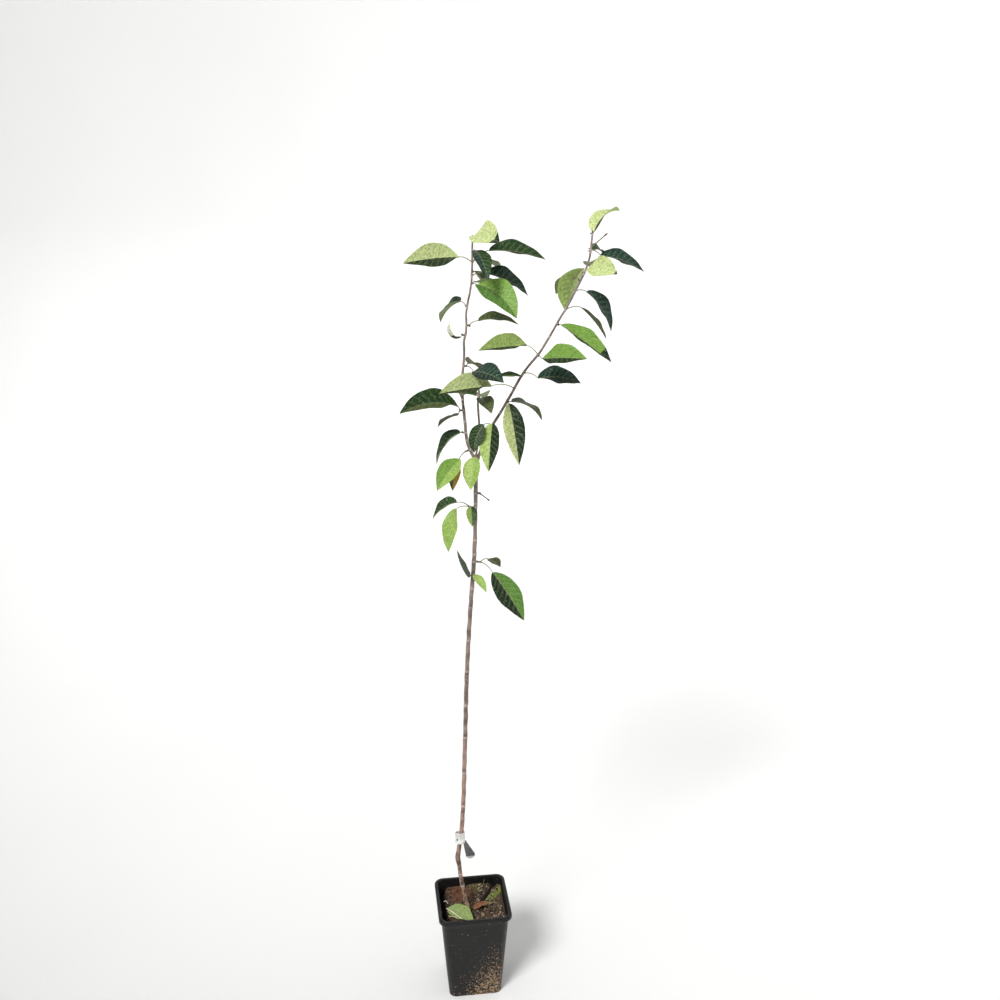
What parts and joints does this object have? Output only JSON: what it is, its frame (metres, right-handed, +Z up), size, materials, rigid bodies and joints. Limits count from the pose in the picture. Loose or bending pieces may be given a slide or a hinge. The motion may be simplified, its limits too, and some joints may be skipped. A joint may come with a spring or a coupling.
{
  "type": "potted young cherry tree",
  "caption": "Young fruit tree in a square nursery pot: slim stem with a low graft bend, a fork near the top, large drooping leaves on spurs, and a blank stem label.",
  "frame": {"origin": "centre of the pot's flat underside", "axes": "+Z up along the stem; the pot's sides lie along X and Y; -Y is the side the tree is usually seen from, and the right bough leans to +X"},
  "size_m": [0.4416, 0.192, 1.5992],
  "materials": {
    "pot_plastic": "black satin moulded plastic, dusty with soil near the foot",
    "compost": "dark brown crumbly compost",
    "bark": "smooth grey-brown young bark with pale rings",
    "leaf_green": "satin green leaves, light and dark by side",
    "label_paper": "plain white matt label with no print"
  },
  "bodies": {
    "root": {"pot": "pot_plastic", "compost": "compost", "trunk": "bark", "leader": "bark", "right_bough": "bark", "middle_shoot": "bark", "leaves_low_right": "leaf_green", "leaves_low_left": "leaf_green", "leaves_stem_left": "leaf_green", "stub_twig": "leaf_green", "leaves_fork_front": "leaf_green", "leaves_fork_left": "leaf_green", "leaves_bough_foot": "leaf_green", "leaves_leader_low": "leaf_green", "leaves_leader_left": "leaf_green", "leaves_leader_right": "leaf_green", "leaf_curled": "leaf_green", "leaves_leader_mid": "leaf_green", "leaves_bough_low": "leaf_green", "leaves_bough_inner": "leaf_green", "leaves_bough_lower": "leaf_green", "leaves_bough_mid": "leaf_green", "leaves_bough_upper": "leaf_green", "crown_left": "leaf_green", "crown_right": "leaf_green", "crown_middle": "leaf_green", "label": "label_paper"}
  },
  "joints": []
}
